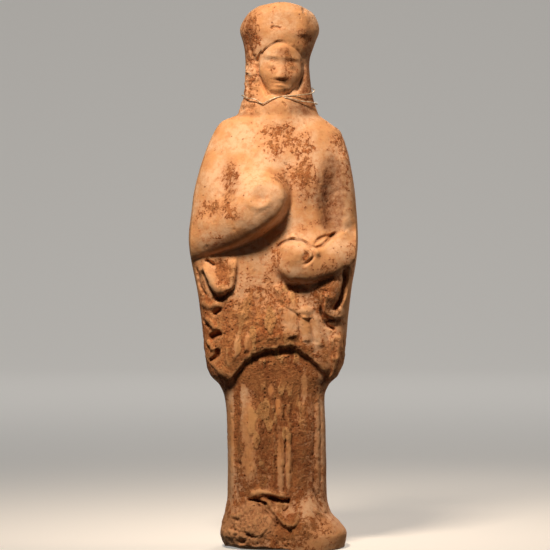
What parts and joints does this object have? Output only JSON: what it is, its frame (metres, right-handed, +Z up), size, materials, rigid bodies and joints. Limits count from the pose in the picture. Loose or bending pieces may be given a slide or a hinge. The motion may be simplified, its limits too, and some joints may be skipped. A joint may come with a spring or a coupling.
{
  "type": "greek terracotta figurine",
  "caption": "Standing draped woman in a tall flaring headdress, moulded in fired clay with a plain rounded back, a fine wire tied round the neck; stands on its own flat foot.",
  "frame": {"origin": "under the middle of the base, on the surface it stands on", "axes": "+Z up along the standing figure, -Y the way it faces, +X to the viewer's right of the front"},
  "size_m": [0.07, 0.0426, 0.225],
  "materials": {
    "terracotta": "matt fired clay, pale slip worn through to red-brown earth",
    "annealed_wire": "dull annealed wire"
  },
  "bodies": {
    "root": {"figurine": "terracotta", "neck_wire": "annealed_wire"}
  },
  "joints": []
}
